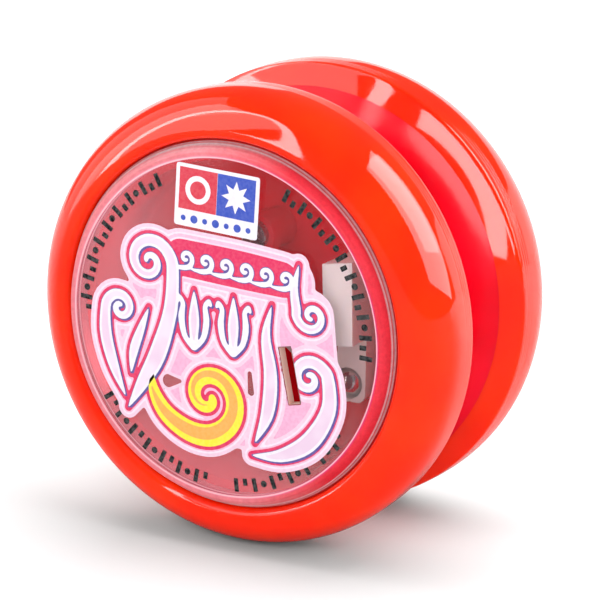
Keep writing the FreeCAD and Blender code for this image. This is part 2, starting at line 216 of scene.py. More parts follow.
def metal(name, dark, light, roughness):
    """Bare metal with a fine grain."""
    made, tree, shader = material(name, Metallic=1.0)
    grain = noise(tree, 1500, 4, 0.6)
    tree.links.new(ramp(tree, grain, 0.3, 0.7, dark, light), shader.inputs["Base Color"])
    tree.links.new(spread(tree, grain, *roughness), shader.inputs["Roughness"])
    bump(tree, shader, grain, 0.05, 0.00005)
    return made


def radius_ramp(tree, stops):
    """A colour ramp over the distance from the axle, from (radius in mm, colour) stops."""
    place = tree.nodes.new("ShaderNodeTexCoord")
    flat = tree.nodes.new("ShaderNodeVectorMath")
    flat.operation = "MULTIPLY"
    flat.inputs[1].default_value = (1, 0, 1)
    length = tree.nodes.new("ShaderNodeVectorMath")
    length.operation = "LENGTH"
    span = tree.nodes.new("ShaderNodeMapRange")
    first, last = stops[0][0], stops[-1][0]
    span.inputs["From Min"].default_value = first * MM
    span.inputs["From Max"].default_value = last * MM
    node = tree.nodes.new("ShaderNodeValToRGB")
    elements = node.color_ramp.elements
    while len(elements) < len(stops):
        elements.new(0.5)
    for element, (radius, colour) in zip(elements, stops):
        element.position = (radius - first) / (last - first)
        element.color = (*colour, 1)
    tree.links.new(place.outputs["Object"], flat.inputs[0])
    tree.links.new(flat.outputs["Vector"], length.inputs[0])
    tree.links.new(length.outputs["Value"], span.inputs["Value"])
    tree.links.new(span.outputs["Result"], node.inputs["Fac"])
    return node.outputs["Color"]


def along(tree, direction, start, end, first, last):
    """A number from first to last, between two places along a direction (places in mm)."""
    place = tree.nodes.new("ShaderNodeTexCoord")
    measure = tree.nodes.new("ShaderNodeVectorMath")
    measure.operation = "DOT_PRODUCT"
    measure.inputs[1].default_value = direction
    span = tree.nodes.new("ShaderNodeMapRange")
    span.inputs["From Min"].default_value = start * MM
    span.inputs["From Max"].default_value = end * MM
    span.inputs["To Min"].default_value = first
    span.inputs["To Max"].default_value = last
    tree.links.new(place.outputs["Object"], measure.inputs[0])
    tree.links.new(measure.outputs["Value"], span.inputs["Value"])
    return span.outputs["Result"]


def mixed(tree, blend, factor, first, last):
    """Two colours blended by a factor."""
    node = tree.nodes.new("ShaderNodeMix")
    node.data_type = "RGBA"
    node.blend_type = blend
    tree.links.new(factor, node.inputs["Factor"])
    tree.links.new(first, node.inputs["A"])
    tree.links.new(last, node.inputs["B"])
    return node.outputs["Result"]


# The clear cap's colours, over the distance from the axle. The thin white lines are painted
# highlights, and the second set is the border painted lighter as a painted highlight towards the lower
# left, with a painted pink veil there for a hazy reflection
CLEAR_END = 20.6
BORDER_END = 22.9
CAP_TINT = (1.0, 0.93, 0.955)
BORDER_ROSE = (0.92, 0.02, 0.045)
BORDER_MAGENTA = (0.9, 0.03, 0.22)
# Painted highlights: the thin white lines in the cap's border stand for glints along its edges and its
# inner step
BORDER_HIGHLIGHT_WHITE = (1.0, 0.72, 0.76)
BORDER_PINK = (0.95, 0.42, 0.47)
# A painted pink veil, standing for a hazy reflection over the lower left of the clear face
PAINTED_VEIL_PINK = (1.0, 0.42, 0.52)
BORDER_RED = (0.85, 0.03, 0.03)
CAP_BORDER = [
    (CLEAR_END, CAP_TINT),
    (20.75, CAP_TINT),
    (20.85, BORDER_MAGENTA),
    (21.0, BORDER_HIGHLIGHT_WHITE),
    (21.1, BORDER_MAGENTA),
    (21.3, BORDER_ROSE),
    (22.3, BORDER_ROSE),
    (22.42, BORDER_HIGHLIGHT_WHITE),
    (22.5, BORDER_RED),
    (22.64, BORDER_HIGHLIGHT_WHITE),
    (22.72, BORDER_RED),
    (BORDER_END, BORDER_RED),
]
# The border painted lighter, as a painted highlight, used towards the lower left
HIGHLIGHTED_CAP_BORDER = [
    (CLEAR_END, PAINTED_VEIL_PINK),
    (20.75, PAINTED_VEIL_PINK),
    (20.85, BORDER_PINK),
    (21.0, BORDER_HIGHLIGHT_WHITE),
    (21.2, BORDER_PINK),
    (21.7, BORDER_PINK),
    (22.0, BORDER_HIGHLIGHT_WHITE),
    (22.15, BORDER_PINK),
    (22.3, CAP_TINT),
    (22.5, CAP_TINT),
    (22.58, BORDER_ROSE),
    (22.66, CAP_TINT),
    (22.74, BORDER_RED),
    (BORDER_END, BORDER_RED),
]


def border_step(tree, inside, outside, start, end):
    """A grey level that changes between two distances from the axle."""
    stops = [(CLEAR_END, inside), (start, inside), (end, outside), (BORDER_END, outside)]
    return radius_ramp(tree, [(radius, (level, level, level)) for radius, level in stops])


def clear_plastic(name):
    """Clear moulded plastic with a frosted border and a faint veil at the lower left. Towards the
    lower left its border is painted lighter, as a painted highlight, and its face takes a painted pink
    veil for a hazy reflection.

    Shadows pass through it as they would through a clear pane.
    """
    made, tree, shader = material(name, IOR=1.49, Specular_IOR_Level=0.25)
    # Painted light: this factor blends in the lighter border, a painted highlight, and the painted
    # pink veil towards the lower left
    paler = along(tree, (-1, 0, -0.15), -12, 0, 0.0, 0.6)
    deep = radius_ramp(tree, CAP_BORDER)
    border = mixed(tree, "MIX", paler, deep, radius_ramp(tree, HIGHLIGHTED_CAP_BORDER))
    where = border_step(tree, 0.0, 1.0, 21.1, 21.2)
    grain = ramp(tree, noise(tree, 1800, 4, 0.7), 0.35, 0.65, (0.84, 0.74, 0.77), (1.0, 1.0, 1.0))
    tree.links.new(mixed(tree, "MULTIPLY", where, border, grain), shader.inputs["Base Color"])
    see = border_step(tree, 1.0, 0.35, 20.8, 20.9)
    thinned_by_haze = tree.nodes.new("ShaderNodeMath")
    thinned_by_haze.operation = "MULTIPLY"
    tree.links.new(see, thinned_by_haze.inputs[0])
    tree.links.new(along(tree, (-0.75, 0, -0.5), -12, 6, 0.998, 0.87), thinned_by_haze.inputs[1])
    tree.links.new(thinned_by_haze.outputs["Value"], shader.inputs["Transmission Weight"])
    tree.links.new(border_step(tree, 0.01, 0.4, 20.8, 20.9), shader.inputs["Roughness"])
    bump(tree, shader, noise(tree, 2200, 3, 0.7), 0.03, 0.0002)
    see_through = tree.nodes.new("ShaderNodeBsdfTransparent")
    see_through.inputs["Color"].default_value = (0.96, 0.94, 0.95, 1)
    path = tree.nodes.new("ShaderNodeLightPath")
    mix = tree.nodes.new("ShaderNodeMixShader")
    tree.links.new(path.outputs["Is Shadow Ray"], mix.inputs["Fac"])
    tree.links.new(shader.outputs["BSDF"], mix.inputs[1])
    tree.links.new(see_through.outputs["BSDF"], mix.inputs[2])
    tree.links.new(mix.outputs["Shader"], tree.nodes["Material Output"].inputs["Surface"])
    return made


def ink(name, colour, spot=0.06, gloss=0.4):
    """Printing ink on film: its colour with a fine uneven coverage."""
    made, tree, shader = material(
        name, Coat_Weight=gloss, Coat_Roughness=0.12, Specular_IOR_Level=gloss
    )
    paler = tuple(c + (1 - c) * spot for c in colour)
    deeper = tuple(c * (1 - spot) for c in colour)
    grain = noise(tree, 2600, 3)
    tree.links.new(ramp(tree, grain, 0.35, 0.65, deeper, paler), shader.inputs["Base Color"])
    tree.links.new(spread(tree, grain, 0.3, 0.42), shader.inputs["Roughness"])
    return made


def shaded_ink(name, first, last, scale):
    """Printing ink that drifts softly from one colour to another."""
    made, tree, shader = material(name, Coat_Weight=0.4, Coat_Roughness=0.12)
    drift = noise(tree, scale, 1)
    tree.links.new(ramp(tree, drift, 0.4, 0.6, first, last), shader.inputs["Base Color"])
    tree.links.new(spread(tree, noise(tree, 2600, 3), 0.3, 0.42), shader.inputs["Roughness"])
    return made


RIM_PLASTIC = moulded_plastic(
    "rim_plastic",
    (0.95, 0.017, 0.0),
    (1.0, 0.028, 0.0),
    (0.03, 0.07),
    (0.1, 1.0, 1.0),
    Subsurface_Weight=0.25,
    Subsurface_Radius=(0.004, 0.0006, 0.0003),
    Subsurface_Scale=0.5,
    IOR=1.5,
)
CRIMSON_PLASTIC = moulded_plastic(
    "crimson_plastic",
    (0.82, 0.002, 0.016),
    (0.95, 0.004, 0.026),
    (0.1, 0.16),
    Subsurface_Weight=0.3,
    Subsurface_Radius=(0.004, 0.0004, 0.0005),
    Subsurface_Scale=0.5,
    IOR=1.5,
    Specular_IOR_Level=0.22,
)
CLEAR_PLASTIC = clear_plastic("clear_plastic")
SLOT_EDGE_PLASTIC = moulded_plastic(
    "slot_edge_plastic",
    (0.9, 0.62, 0.54),
    (1.0, 0.8, 0.72),
    (0.4, 0.6),
    Subsurface_Weight=0.3,
    Subsurface_Radius=(0.003, 0.001, 0.001),
    Subsurface_Scale=0.4,
)
ARM_PLASTIC = moulded_plastic(
    "arm_plastic",
    (0.8, 0.71, 0.67),
    (0.88, 0.81, 0.78),
    (0.3, 0.42),
    Subsurface_Weight=0.3,
    Subsurface_Radius=(0.002, 0.0015, 0.001),
    Subsurface_Scale=0.3,
)
SPOOL_PLASTIC = moulded_plastic("spool_plastic", (0.8, 0.78, 0.74), (0.88, 0.87, 0.84), (0.3, 0.4))
STEEL = metal("steel", (0.5, 0.5, 0.52), (0.68, 0.68, 0.7), (0.18, 0.32))
BALL_STEEL = metal("ball_steel", (0.84, 0.83, 0.84), (0.94, 0.93, 0.94), (0.06, 0.14))
SPRING_STEEL = metal("spring_steel", (0.45, 0.45, 0.48), (0.62, 0.62, 0.65), (0.2, 0.3))
BRASS = metal("brass", (0.62, 0.42, 0.16), (0.78, 0.58, 0.26), (0.15, 0.3))
BLACK_INK = ink("black_ink", (0.004, 0.005, 0.006), gloss=0.05)
WHITE_INK = ink("white_ink", (0.79, 0.74, 0.82))
LILAC_INK = shaded_ink("lilac_ink", (0.72, 0.53, 0.68), (0.77, 0.64, 0.75), 260)
EDGE_PINK_INK = ink("edge_pink_ink", (0.8, 0.53, 0.67))
PALE_PINK_INK = ink("pale_pink_ink", (0.83, 0.67, 0.78))
PINK_INK = ink("pink_ink", (0.78, 0.37, 0.56))
ROSE_INK = ink("rose_ink", (0.79, 0.43, 0.6))
CRIMSON_INK = ink("crimson_ink", (0.68, 0.008, 0.09), 0.03)
SHADOW_INK = ink("shadow_ink", (0.08, 0.055, 0.28), 0.03)
YELLOW_INK = ink("yellow_ink", (0.86, 0.72, 0.02), 0.03)
ORANGE_INK = ink("orange_ink", (0.84, 0.37, 0.06), 0.03)
RED_INK = ink("red_ink", (0.62, 0.02, 0.05), 0.03)
BLUE_INK = ink("blue_ink", (0.02, 0.06, 0.44), 0.03)


# ---------------------------------------------------------------- meshes


def finish_mesh(name, mesh, paint, body, stands_for=(), sharp=30):
    """Links a mesh as a piece that rides on a body, if given, smooth except at its sharp edges."""
    mesh.polygons.foreach_set("use_smooth", [True] * len(mesh.polygons))
    mesh.set_sharp_from_angle(angle=math.radians(sharp))
    mesh.materials.clear()
    mesh.materials.append(paint)
    piece = bpy.data.objects.new(name, mesh)
    bpy.context.scene.collection.objects.link(piece)
    if body:
        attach(piece, body)
    if stands_for:
        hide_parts(*stands_for)
    return piece


def ellipse_run(centre, radii, start, end, steps):
    """Points of an elliptical arc, with its angles in degrees."""
    turns = np.radians(np.linspace(start, end, steps + 1))
    return [(centre[0] + radii[0] * math.cos(a), centre[1] + radii[1] * math.sin(a)) for a in turns]


def rounded(points, radius, steps=4):
    """A closed outline with each of its corners rounded off."""
    result = []
    for i, corner in enumerate(points):
        corner = Vector(corner)
        back = Vector(points[i - 1]) - corner
        ahead = Vector(points[(i + 1) % len(points)]) - corner
        reach = min(radius, back.length / 2.1, ahead.length / 2.1)
        start = corner + back.normalized() * reach
        end = corner + ahead.normalized() * reach
        for step in range(steps + 1):
            t = step / steps
            result.append(tuple(start * (1 - t) ** 2 + corner * 2 * t * (1 - t) + end * t**2))
    return result


def lathe_mesh(name, outline, side, segments=SMOOTH_SEGMENTS):
    """A solid of revolution about the axle, from a closed outline of (radius, depth) points."""
    count = len(outline)
    turns = np.linspace(0, 2 * math.pi, segments, endpoint=False)
    rows = [
        (r * math.cos(a) * MM, side * depth * MM, r * math.sin(a) * MM)
        for a in turns
        for r, depth in outline
    ]
    faces = []
    for i in range(segments):
        here = i * count
        there = (i + 1) % segments * count
        for j in range(count):
            k = (j + 1) % count
            faces.append((here + j, here + k, there + k, there + j))
    mesh = bpy.data.meshes.new(name)
    mesh.from_pydata(rows, [], faces)
    work = bmesh.new()
    work.from_mesh(mesh)
    bmesh.ops.remove_doubles(work, verts=work.verts, dist=1e-7)
    bmesh.ops.dissolve_degenerate(work, edges=work.edges, dist=1e-7)
    bmesh.ops.recalc_face_normals(work, faces=work.faces)
    work.to_mesh(mesh)
    work.free()
    return mesh


def rim_outline():
    """The rim's section, with three fine beads beside its gap edge."""
    lip_radius = RIM_CREST_RADIUS - CAP_RADIUS
    lip = ellipse_run(
        (RIM_CREST_RADIUS, RIM_LIP_DEPTH),
        (lip_radius, RIM_CREST_DEPTH - RIM_LIP_DEPTH),
        180,
        95,
        8,
    )
    shoulder = ellipse_run(
        (RIM_CREST_RADIUS, RIM_WIDEST_DEPTH),
        (RIM_RADIUS - RIM_CREST_RADIUS, RIM_CREST_DEPTH - RIM_WIDEST_DEPTH),
        90,
        0,
        40,
    )
    side = []
    for depth in np.linspace(RIM_WIDEST_DEPTH - 0.3, RIM_EDGE_DEPTH, 40):
        run = (RIM_WIDEST_DEPTH - depth) / (RIM_WIDEST_DEPTH - RIM_EDGE_DEPTH)
        radius = RIM_RADIUS - (RIM_RADIUS - RIM_EDGE_RADIUS) * run**2
        if depth < BEADS_FROM_DEPTH:
            wave = math.cos(2 * math.pi * (depth - RIM_EDGE_DEPTH) / BEAD_PITCH)
            radius -= BEAD_HEIGHT * (1 - wave) / 2
        side.append((radius, depth))
    edge = rounded([(RIM_EDGE_RADIUS, RIM_EDGE_DEPTH), (28.35, 7.0), RIM_GAP_FACE], 0.7, 6)
    return lip + shoulder + side + edge[6:12] + [
        RIM_GAP_FACE,
        (SHELL_RADIUS, GAP_EDGE_DEPTH),
        (SHELL_RADIUS, FLANGE_DEPTH),
        (CAP_RADIUS, FLANGE_DEPTH),
    ]


def cap_outline():
    """The cap's section: a flat face with a label recess, a bevel, a skirt and the underside."""
    recess = CAP_FACE - LABEL_RECESS_DEPTH
    underside = CAP_FACE - CAP_THICKNESS
    edge_centre = (CAP_FACE_RADIUS, CAP_FACE - CAP_EDGE_ROUND)
    edge = ellipse_run(edge_centre, (CAP_EDGE_ROUND, CAP_EDGE_ROUND), 90, 40, 5)
    fillet_centre = (CAP_SKIRT_BORE - CAP_FILLET, underside - CAP_FILLET)
    fillet = ellipse_run(fillet_centre, (CAP_FILLET, CAP_FILLET), 0, 90, 6)
    return (
        [(0, recess), (LABEL_RECESS_RADIUS, recess), (LABEL_RECESS_RADIUS, CAP_FACE)]
        + edge
        + [(CAP_RADIUS - 0.06, RIM_LIP_DEPTH + 0.1), (CAP_RADIUS, RIM_LIP_DEPTH - 0.05)]
        + [(CAP_RADIUS, CAP_FOOT), (CAP_SKIRT_BORE, CAP_FOOT)]
        + fillet
        + [(0, underside)]
    )


def slot_cutter():
    """The leaning block that the slot is cut with."""
    halves_each_way = (-0.5, 0.5)
    corners = [(x, y, z) for x in halves_each_way for y in halves_each_way for z in halves_each_way]
    faces = [(0, 1, 3, 2), (4, 6, 7, 5), (0, 4, 5, 1), (2, 3, 7, 6), (0, 2, 6, 4), (1, 5, 7, 3)]
    mesh = bpy.data.meshes.new("slot_cutter")
    mesh.from_pydata(corners, [], faces)
    width, length = SLOT_SIZE
    size = Matrix.Diagonal((width * MM, SLOT_CUTTER_DEPTH * MM, length * MM, 1))
    turn = Matrix.Rotation(math.radians(-SLOT_LEAN), 4, "Y")
    place = Matrix.Translation(Vector((SLOT_CENTRE[0], -CAP_FACE, SLOT_CENTRE[1])) * MM)
    mesh.transform(place @ turn @ size)
    return mesh


def cut_slot(mesh):
    """Cuts the narrow leaning slot through the clutch-side cap."""
    cutter = bpy.data.objects.new("slot_cutter", slot_cutter())
    blank = bpy.data.objects.new("cap_blank", mesh)
    bpy.context.scene.collection.objects.link(cutter)
    bpy.context.scene.collection.objects.link(blank)
    cut = blank.modifiers.new("slot", "BOOLEAN")
    cut.operation = "DIFFERENCE"
    cut.solver = "EXACT"
    cut.object = cutter
    graph = bpy.context.evaluated_depsgraph_get()
    result = bpy.data.meshes.new_from_object(blank.evaluated_get(graph))
    bpy.data.objects.remove(cutter)
    bpy.data.objects.remove(blank)
    return result


def frost_slot(mesh):
    """Gives the cut walls of the slot their sawn, frosted look."""
    mesh.materials.append(SLOT_EDGE_PLASTIC)
    centre = Vector((SLOT_CENTRE[0], SLOT_CENTRE[1])) * MM
    reach = (SLOT_SIZE[1] / 2 + 0.3) * MM
    for face in mesh.polygons:
        place = Vector((face.center.x, face.center.z)) - centre
        if abs(face.normal.y) < 0.3 and place.length < reach:
            face.material_index = 1


# ---------------------------------------------------------------- label drawing


# Everything drawn here is in (x, z) millimetres as seen from the clutch side. A field holds, at each
# point of a grid, the distance to a shape's edge, and is negative inside the shape.
GRID_STEP = 0.14
GRID_X = np.arange(-21, 20, GRID_STEP)
GRID_Z = np.arange(-19, 15, GRID_STEP)
FIELD_X, FIELD_Z = np.meshgrid(GRID_X, GRID_Z)


def smooth_line(points, per_span=8):
    """Points (x, z, half width) along a smooth line through the given ones."""
    fixed = np.array([points[0], *points, points[-1]], float)
    result = []
    for i in range(1, len(fixed) - 2):
        a, b, c, d = fixed[i - 1 : i + 3]
        for t in np.linspace(0, 1, per_span, endpoint=False):
            bend = 2 * b + (c - a) * t + (2 * a - 5 * b + 4 * c - d) * t**2
            result.append(0.5 * (bend + (3 * b - a - 3 * c + d) * t**3))
    result.append(fixed[-2])
    return np.array(result)


def curl(centre, outer, inner, start, turn, widths, steps=9):
    """Points of a spiral from its outer end inwards; start and turn are in degrees."""
    points = []
    for i in range(steps + 1):
        t = i / steps
        angle = math.radians(start + turn * t)
        radius = outer + (inner - outer) * t**0.8
        width = widths[0] + (widths[1] - widths[0]) * t
        x = centre[0] + radius * math.cos(angle)
        points.append((x, centre[1] + radius * math.sin(angle), width))
    return points


def stroke_field(lines, shift=(0, 0)):
    """Distance to the edge of a set of tapered strokes, negative inside them."""
    field = np.full(FIELD_X.shape, 1e3)
    for line in lines:
        for a, b in zip(line, line[1:]):
            ab = b[:2] - a[:2]
            px = FIELD_X - a[0] - shift[0]
            pz = FIELD_Z - a[1] - shift[1]
            t = np.clip((px * ab[0] + pz * ab[1]) / max(ab @ ab, 1e-9), 0, 1)
            reach = np.hypot(px - ab[0] * t, pz - ab[1] * t)
            field = np.minimum(field, reach - (a[2] + (b[2] - a[2]) * t))
    return field


def softened(field, rounds=2):
    """A field with its creases rounded off, so that thin slivers close up."""
    for _ in range(rounds):
        for axis in (0, 1):
            field = (np.roll(field, 1, axis) + 2 * field + np.roll(field, -1, axis)) / 4
    return field


def contour_loops(field, level):
    """Closed loops of (x, z) points where the field crosses a level, by marching squares."""
    inside = field < level
    corner = inside[:-1, :-1] * 1 + inside[:-1, 1:] * 2 + inside[1:, 1:] * 4 + inside[1:, :-1] * 8
    sides = {
        1: [(3, 0)], 2: [(0, 1)], 3: [(3, 1)], 4: [(1, 2)], 5: [(3, 2), (1, 0)], 6: [(0, 2)],
        7: [(3, 2)], 8: [(2, 3)], 9: [(2, 0)], 10: [(0, 3), (2, 1)], 11: [(2, 1)], 12: [(1, 3)],
        13: [(1, 0)], 14: [(0, 3)],
    }

    def crossing(row, column, side):
        """The grid edge that a side of a cell is, and where the level crosses it."""
        ends = {
            0: ((row, column), (row, column + 1)),
            1: ((row, column + 1), (row + 1, column + 1)),
            2: ((row + 1, column), (row + 1, column + 1)),
            3: ((row, column), (row + 1, column)),
        }[side]
        first, last = field[ends[0]], field[ends[1]]
        t = min(max((level - first) / (last - first), 0.02), 0.98)
        x = GRID_X[ends[0][1]] + t * (GRID_X[ends[1][1]] - GRID_X[ends[0][1]])
        z = GRID_Z[ends[0][0]] + t * (GRID_Z[ends[1][0]] - GRID_Z[ends[0][0]])
        return ends, (x, z)

    following = {}
    places = {}
    for row, column in zip(*np.nonzero((corner > 0) & (corner < 15))):
        for start, end in sides[int(corner[row, column])]:
            a, places_a = crossing(row, column, start)
            b, places_b = crossing(row, column, end)
            following[a] = b
            places[a] = places_a
            places[b] = places_b
    loops = []
    while following:
        start = next(iter(following))
        loop = []
        here = start
        while here in following:
            loop.append(places[here])
            here = following.pop(here)
        if len(loop) > 6:
            loops.append(thinned(loop))
    return loops


def thinned(loop, slack=0.012):
    """A loop without the points that lie almost on the line between their neighbours."""
    kept = [loop[0]]
    for i, point in enumerate(loop[1:], 1):
        before = kept[-1]
        after = loop[(i + 1) % len(loop)]
        run = (after[0] - before[0], after[1] - before[1])
        off = (point[0] - before[0], point[1] - before[1])
        length = math.hypot(*run)
        if length < 1e-6 or length > 0.9 or abs(run[0] * off[1] - run[1] * off[0]) / length > slack:
            kept.append(point)
    return kept


def inside_loops(points, loops):
    """Which of the points lie inside an odd number of the loops."""
    x, z = points[:, 0], points[:, 1]
    count = np.zeros(len(points), int)
    for loop in loops:
        corners = np.array(loop)
        for (x0, z0), (x1, z1) in zip(corners, np.roll(corners, -1, axis=0)):
            if z0 != z1:
                crossed = (z0 > z) != (z1 > z)
                count += crossed & (x < x0 + (x1 - x0) * (z - z0) / (z1 - z0))
    return count % 2 == 1


def plate_mesh(name, loops, low, high):
    """A thin plate on the clutch side with these outlines and holes, between two depths."""
    points = []
    edges = []
    for loop in loops:
        first = len(points)
        points += [Vector(point) for point in loop]
        edges += [(first + i, first + (i + 1) % len(loop)) for i in range(len(loop))]
    flat = delaunay_2d_cdt(points, edges, [], 0, 1e-5)
    spots = np.array([tuple(point) for point in flat[0]])
    faces = [list(face) for face in flat[2] if len(face) == 3]
    middles = spots[np.array(faces)].mean(axis=1)
    faces = [face for face, keep in zip(faces, inside_loops(middles, loops)) if keep]
    work = bmesh.new()
    rows = [work.verts.new((x * MM, -high * MM, z * MM)) for x, z in spots]
    for face in faces:
        work.faces.new([rows[i] for i in face])
    bmesh.ops.delete(work, geom=[v for v in work.verts if not v.link_faces], context="VERTS")
    grown = bmesh.ops.extrude_face_region(work, geom=work.faces[:])
    moved = [item for item in grown["geom"] if isinstance(item, bmesh.types.BMVert)]
    bmesh.ops.translate(work, verts=moved, vec=(0, (high - low) * MM, 0))
    bmesh.ops.recalc_face_normals(work, faces=work.faces)
    mesh = bpy.data.meshes.new(name)
    work.to_mesh(mesh)
    work.free()
    return mesh


def both_sides(name, mesh, paint, stands_for=None):
    """The same label piece on the clutch side and, facing backwards, on the plain side."""
    for side_name, (side, body) in SIDES.items():
        copy = mesh.copy()
        if side == PLAIN_SIDE:
            copy.transform(Matrix.Rotation(math.pi, 4, "Z"))
        nodes = (f"{side_name}_{stands_for}",) if stands_for else ()
        finish_mesh(f"{side_name}_{name}", copy, paint, body, nodes)


def flourish_lines():
    """The white scrolls and leaves of the emblem."""
    upper_scroll = [(-13.4, -12.0, 0.1), (-11.4, -8.6, 0.8), (-9.2, -4.6, 1.15), (-7.4, 1.0, 0.95)]
    upper_scroll += curl((-10.4, 7.0), 3.5, 0.4, -14, 540, (0.85, 0.3), 15)
    left_scroll = [(-13.8, -10.6, 0.1), (-15.4, -7.2, 0.7), (-16.6, -3.2, 0.85)]
    left_scroll += curl((-14.5, 0.6), 2.2, 0.35, 190, -470, (0.7, 0.28), 13)
    middle_leaf = [(-13.0, -7.6, 0.08), (-12.6, -4.6, 0.62), (-11.5, -1.6, 0.5), (-10.4, 1.2, 0.08)]
    right_scroll = [(4.2, -15.2, 0.1), (8.2, -14.6, 0.8), (12.1, -12.2, 1.15), (14.6, -8.0, 1.0)]
    right_scroll += curl((11.9, -4.3), 2.65, 0.4, 5, 460, (0.85, 0.3), 14)
    upper_curl = [(10.4, 9.4, 0.1), (9.8, 6.4, 0.5), (10.1, 4.0, 0.62)]
    upper_curl += curl((12.2, 3.4), 2.1, 0.35, 190, 440, (0.58, 0.25), 13)
    tall_leaf = [(4.6, -13.6, 0.08), (6.3, -9.6, 0.85), (6.7, -4.8, 0.9)]
    tall_leaf += [(6.0, 0.0, 0.6), (6.8, 4.0, 0.08)]
    lines = [upper_scroll, left_scroll, middle_leaf, right_scroll, upper_curl, tall_leaf]
    for centre in (-4.0, 1.5):
        lines.append([(centre, -3.0, 0.3), (centre, 0.6, 0.74), (centre, 4.3, 0.08)])
        for way in (-1, 1):
            lines.append([
                (centre + way * 0.2, -3.0, 0.25),
                (centre + way * 1.35, -1.5, 0.36),
                (centre + way * 1.75, 0.6, 0.42),
                (centre + way * 1.55, 2.4, 0.3),
                (centre + way * 2.1, 3.2, 0.26),
                (centre + way * 2.35, 2.6, 0.2),
            ])
    return [smooth_line(line) for line in lines]


def wave_lines():
    """The running row of small curls in the crimson panel."""
    lines = []
    for i in range(6):
        x = -5.9 + 2.75 * i
        z = 8.1 - 0.14 * i
        line = [(x - 1.2, z - 1.15, 0.12), (x + 0.2, z - 1.25, 0.3)]
        line += curl((x + 0.75, z), 1.12, 0.2, -70, 380, (0.32, 0.2), 9)
        lines.append(smooth_line(line, 5))
    return lines


def comet_lines():
    """The yellow comet: one large curl with a tail that sweeps out to the left."""
    tail = [(-9.9, -6.9, 0.1), (-9.7, -9.2, 0.75), (-8.0, -11.8, 1.15), (-5.0, -13.5, 1.35)]
    comet = tail + curl((-1.9, -8.9), 4.9, 0.5, -92, 450, (1.4, 0.5), 15)
    return [smooth_line(comet)]


def emblem_body():
    """The rough body of the die-cut label, which fills the spaces between its scrolls."""
    return stroke_field([
        smooth_line([(-10.4, 7.0, 3.4), (-8.6, 0.0, 4.0), (-11.0, -6.0, 3.6)]),
        smooth_line([(-5.6, 8.0, 3.4), (3.0, 7.6, 3.4), (9.6, 7.2, 3.0)]),
        smooth_line([(-6.0, 1.0, 5.4), (2.0, 1.0, 5.6), (8.0, 0.5, 5.0)]),
        smooth_line([(-5.5, -7.6, 6.0), (-1.6, -8.4, 6.2), (5.0, -8.6, 6.0), (9.6, -8.6, 5.6)]),
        smooth_line([(-14.0, 0.0, 3.0), (-14.4, -5.0, 2.6)]),
        smooth_line([(12.2, 3.6, 3.0), (12.6, -4.0, 3.4)]),
    ])


def hole_field(points):
    """Distance to a small cut-out given by its corners, negative inside it."""
    field = np.full(FIELD_X.shape, -1e3)
    for a, b in zip(points, points[1:] + points[:1]):
        run = (b[0] - a[0], b[1] - a[1])
        across = (run[0] * (FIELD_Z - a[1]) - run[1] * (FIELD_X - a[0])) / math.hypot(*run)
        field = np.maximum(field, -across)
    return field


# Small cut-outs of the emblem, each a tapered stroke
EMBLEM_HOLES = [
    [(3.8, -5.0, 0.3), (4.0, -7.3, 0.45)],
    [(-7.6, -7.7, 0.85), (-6.0, -7.5, 0.25)],
]

# How far each band of pink reaches from the art, and the pale edge round the whole label
LILAC_REACH = 0.25
ROSE_REACH = 0.64
PALE_REACH = 0.88
BODY_REACH = 1.3
EDGE_WIDTH = 0.42

OUTLINE_REACH = 0.45
SCROLL_CORE_INSET = 0.34
SCROLL_SHADOW_SHIFT = (0.26, -0.2)
COMET_CORE_SHIFT = (0.22, -0.22, 0.62)
SLOT_MARGIN = 0.12


